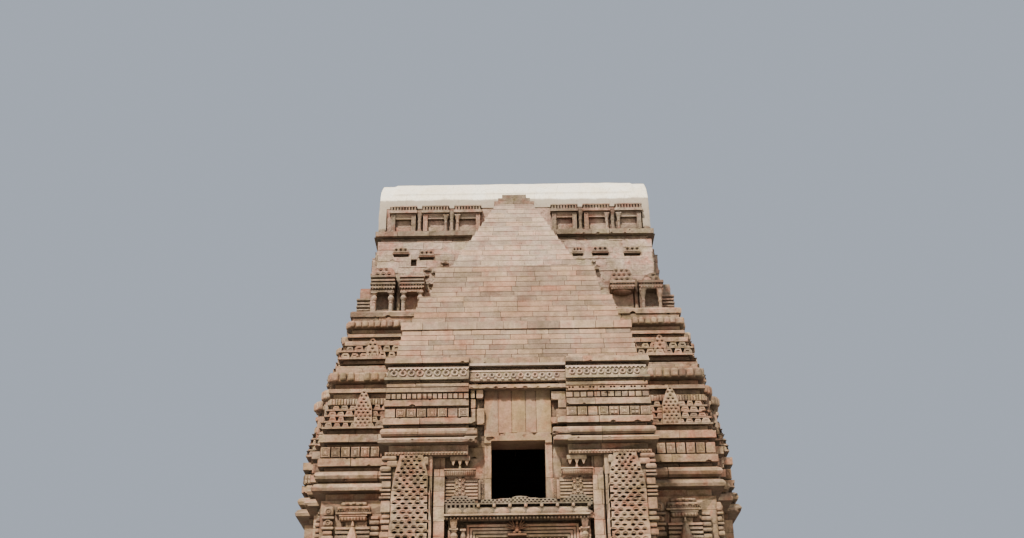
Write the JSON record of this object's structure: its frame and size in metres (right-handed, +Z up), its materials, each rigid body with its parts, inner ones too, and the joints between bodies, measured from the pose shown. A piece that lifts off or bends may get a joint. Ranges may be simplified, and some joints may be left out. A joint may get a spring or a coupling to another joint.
{
  "type": "barrel-vaulted hindu temple",
  "caption": "Stone hindu temple: moulded plinth, hollow shrine with entrance block, banded tower, storey of small pavilions, plastered barrel-vaulted crown and plain stepped facing.",
  "frame": {"origin": "on the ground under the middle of the crown's vault", "axes": "+Z up, -Y out of the door, +X to the right of someone who looks at the door"},
  "size_m": [18.3, 20.1003, 24.4],
  "materials": {
    "sandstone": "weathered",
    "grey_stone": "weathered",
    "ashlar": "dressed",
    "lime_plaster": "weathered lime plaster"
  },
  "bodies": {
    "root": {"platform": "grey_stone", "plinth_footing": "sandstone", "plinth_roll": "sandstone", "plinth_top": "sandstone", "lower_steps": "grey_stone", "upper_steps": "grey_stone", "left_wall": "sandstone", "right_wall": "sandstone", "back_wall": "sandstone", "left_inner_front_wall": "sandstone", "right_inner_front_wall": "sandstone", "left_portico_wall": "sandstone", "right_portico_wall": "sandstone", "door_sill": "sandstone", "left_door_jamb": "sandstone", "right_door_jamb": "sandstone", "door_lintel": "sandstone", "door_frieze": "sandstone", "door_awning": "sandstone", "window_sill": "sandstone", "left_window_jamb": "sandstone", "right_window_jamb": "sandstone", "window_lintel": "ashlar", "closing_slabs": "ashlar", "left_portico_mouldings": "sandstone", "right_portico_mouldings": "sandstone", "portico_frieze": "sandstone", "portico_cornice": "sandstone", "tower_eave": "sandstone", "tower_roll": "sandstone", "tower_block_course": "sandstone", "tower_lattice_course": "sandstone", "lower_ribbed_course": "sandstone", "upper_lattice_course": "sandstone", "upper_ribbed_course": "sandstone", "terrace_slab": "sandstone", "pavilion_storey": "sandstone", "crown_cornice": "grey_stone", "vault": "lime_plaster", "ridge_plaster": "lime_plaster", "left_gable_arch": "lime_plaster", "right_gable_arch": "lime_plaster", "left_gable_wall": "sandstone", "right_gable_wall": "sandstone", "facing_base": "ashlar", "facing_coping": "ashlar", "facing_second_stage": "ashlar", "facing_third_stage": "ashlar", "facing_spire": "ashlar", "facing_cap": "ashlar"}
  },
  "joints": []
}
